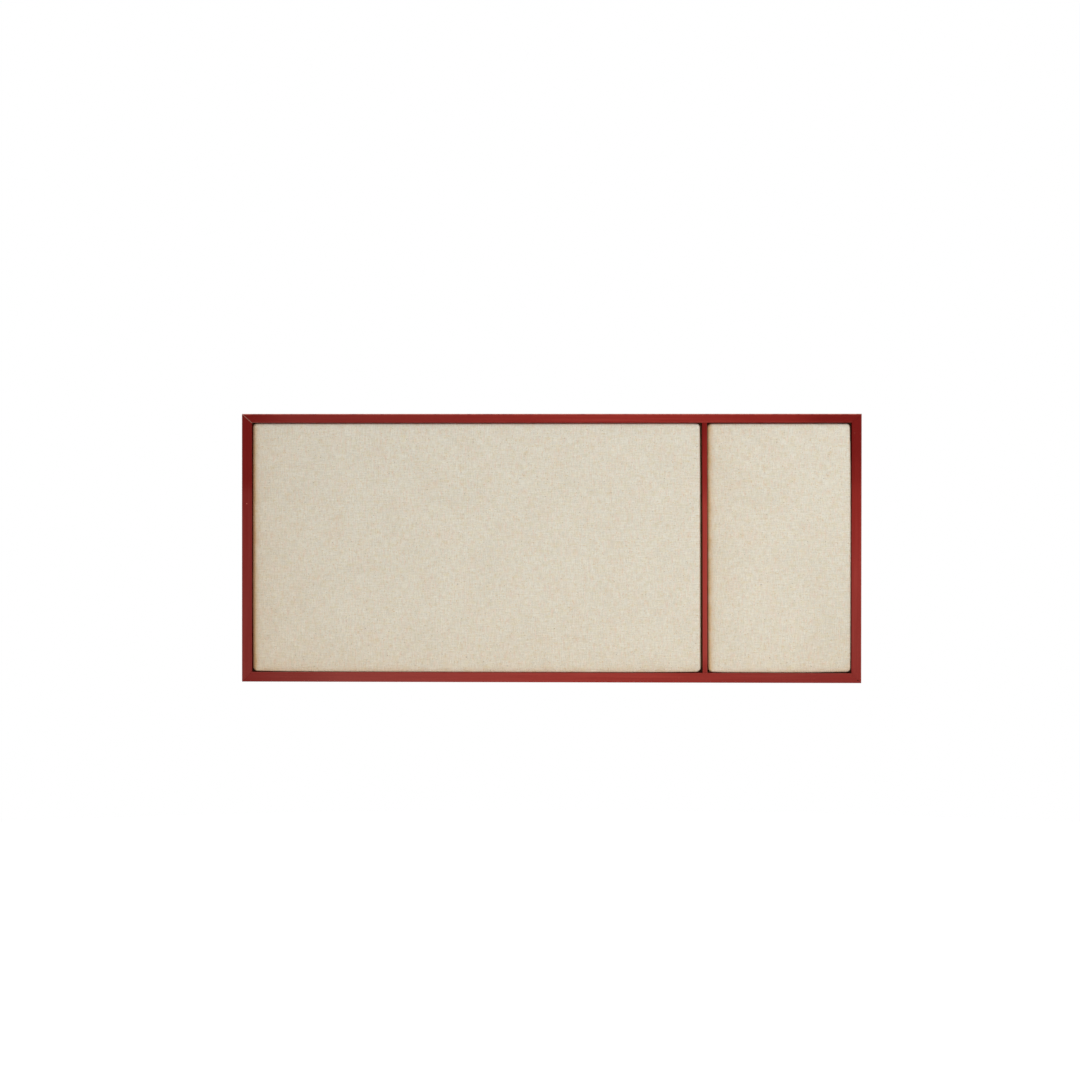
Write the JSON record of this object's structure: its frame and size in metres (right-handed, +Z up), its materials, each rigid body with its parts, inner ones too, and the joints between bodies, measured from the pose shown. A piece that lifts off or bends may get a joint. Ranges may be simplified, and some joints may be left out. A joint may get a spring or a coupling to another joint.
{
  "type": "linen pin board",
  "caption": "Wide wall pin board: a red lacquered mitred frame with an upright divider, holding a large and a small padded linen panel with shadow gaps, hung on rings behind.",
  "frame": {"origin": "on the wall plane, behind the middle of the board's width and height", "axes": "+X to the viewer's right along the board, +Y from the front of the board to the wall, +Z up"},
  "size_m": [1.2, 0.0311, 0.52],
  "materials": {
    "red_lacquer": "satin red lacquer over close-grained wood",
    "linen": "natural plain-weave linen with slubs",
    "wadding": "white polyester wadding",
    "softboard": "raw wood-fibre softboard",
    "hardboard": "raw brown hardboard",
    "birch_ply": "raw plywood",
    "zinc_steel": "bright zinc plate",
    "rubber": "matt dark rubber"
  },
  "bodies": {
    "board": {"frame_top_rail": "red_lacquer", "frame_bottom_rail": "red_lacquer", "frame_left_stile": "red_lacquer", "frame_right_stile": "red_lacquer", "divider_bar": "red_lacquer", "mitre_spline_top_left": "birch_ply", "mitre_spline_top_right": "birch_ply", "mitre_spline_bottom_left": "birch_ply", "mitre_spline_bottom_right": "birch_ply", "back_board": "hardboard", "large_panel_core": "softboard", "large_panel_wadding": "wadding", "large_panel_linen": "linen", "small_panel_core": "softboard", "small_panel_wadding": "wadding", "small_panel_linen": "linen", "large_panel_screw_1": "zinc_steel", "large_panel_screw_2": "zinc_steel", "large_panel_screw_3": "zinc_steel", "large_panel_screw_4": "zinc_steel", "large_panel_screw_5": "zinc_steel", "large_panel_screw_6": "zinc_steel", "small_panel_screw_1": "zinc_steel", "small_panel_screw_2": "zinc_steel", "small_panel_screw_3": "zinc_steel", "small_panel_screw_4": "zinc_steel", "turn_button_screw_top_left": "zinc_steel", "turn_button_screw_top_middle": "zinc_steel", "turn_button_screw_top_right": "zinc_steel", "turn_button_screw_bottom_left": "zinc_steel", "turn_button_screw_bottom_middle": "zinc_steel", "turn_button_screw_bottom_right": "zinc_steel", "turn_button_screw_side_left": "zinc_steel", "turn_button_screw_side_right": "zinc_steel", "hanger_strap_left": "zinc_steel", "hanger_strap_right": "zinc_steel", "hanger_screw_left_upper": "zinc_steel", "hanger_screw_left_lower": "zinc_steel", "hanger_screw_right_upper": "zinc_steel", "hanger_screw_right_lower": "zinc_steel", "wall_bumper_left": "rubber", "wall_bumper_right": "rubber"},
    "ring_left": {"hanger_ring_left": "zinc_steel"},
    "ring_right": {"hanger_ring_right": "zinc_steel"},
    "button_top_left": {"turn_button_top_left": "zinc_steel"},
    "button_top_middle": {"turn_button_top_middle": "zinc_steel"},
    "button_top_right": {"turn_button_top_right": "zinc_steel"},
    "button_bottom_left": {"turn_button_bottom_left": "zinc_steel"},
    "button_bottom_middle": {"turn_button_bottom_middle": "zinc_steel"},
    "button_bottom_right": {"turn_button_bottom_right": "zinc_steel"},
    "button_side_left": {"turn_button_side_left": "zinc_steel"},
    "button_side_right": {"turn_button_side_right": "zinc_steel"}
  },
  "joints": [
    {"name": "ring_left_swing", "type": "hinge", "parent": "board", "child": "ring_left", "pos_m": [-0.592, -0.0034, 0.2], "axis": [1, 0, 0], "range_deg": [0, 180]},
    {"name": "ring_right_swing", "type": "hinge", "parent": "board", "child": "ring_right", "pos_m": [0.592, -0.0034, 0.2], "axis": [1, 0, 0], "range_deg": [0, 180]},
    {"name": "button_top_left_turn", "type": "hinge", "parent": "board", "child": "button_top_left", "pos_m": [-0.4, -0.0054, 0.2545], "axis": [0, 1, 0], "continuous": true},
    {"name": "button_top_middle_turn", "type": "hinge", "parent": "board", "child": "button_top_middle", "pos_m": [0, -0.0054, 0.2545], "axis": [0, 1, 0], "continuous": true},
    {"name": "button_top_right_turn", "type": "hinge", "parent": "board", "child": "button_top_right", "pos_m": [0.4, -0.0054, 0.2545], "axis": [0, 1, 0], "continuous": true},
    {"name": "button_bottom_left_turn", "type": "hinge", "parent": "board", "child": "button_bottom_left", "pos_m": [-0.4, -0.0054, -0.2535], "axis": [0, 1, 0], "continuous": true},
    {"name": "button_bottom_middle_turn", "type": "hinge", "parent": "board", "child": "button_bottom_middle", "pos_m": [0, -0.0054, -0.2535], "axis": [0, 1, 0], "continuous": true},
    {"name": "button_bottom_right_turn", "type": "hinge", "parent": "board", "child": "button_bottom_right", "pos_m": [0.4, -0.0054, -0.2535], "axis": [0, 1, 0], "continuous": true},
    {"name": "button_side_left_turn", "type": "hinge", "parent": "board", "child": "button_side_left", "pos_m": [-0.5935, -0.0054, 0], "axis": [0, 1, 0], "continuous": true},
    {"name": "button_side_right_turn", "type": "hinge", "parent": "board", "child": "button_side_right", "pos_m": [0.5935, -0.0054, 0], "axis": [0, 1, 0], "continuous": true}
  ]
}
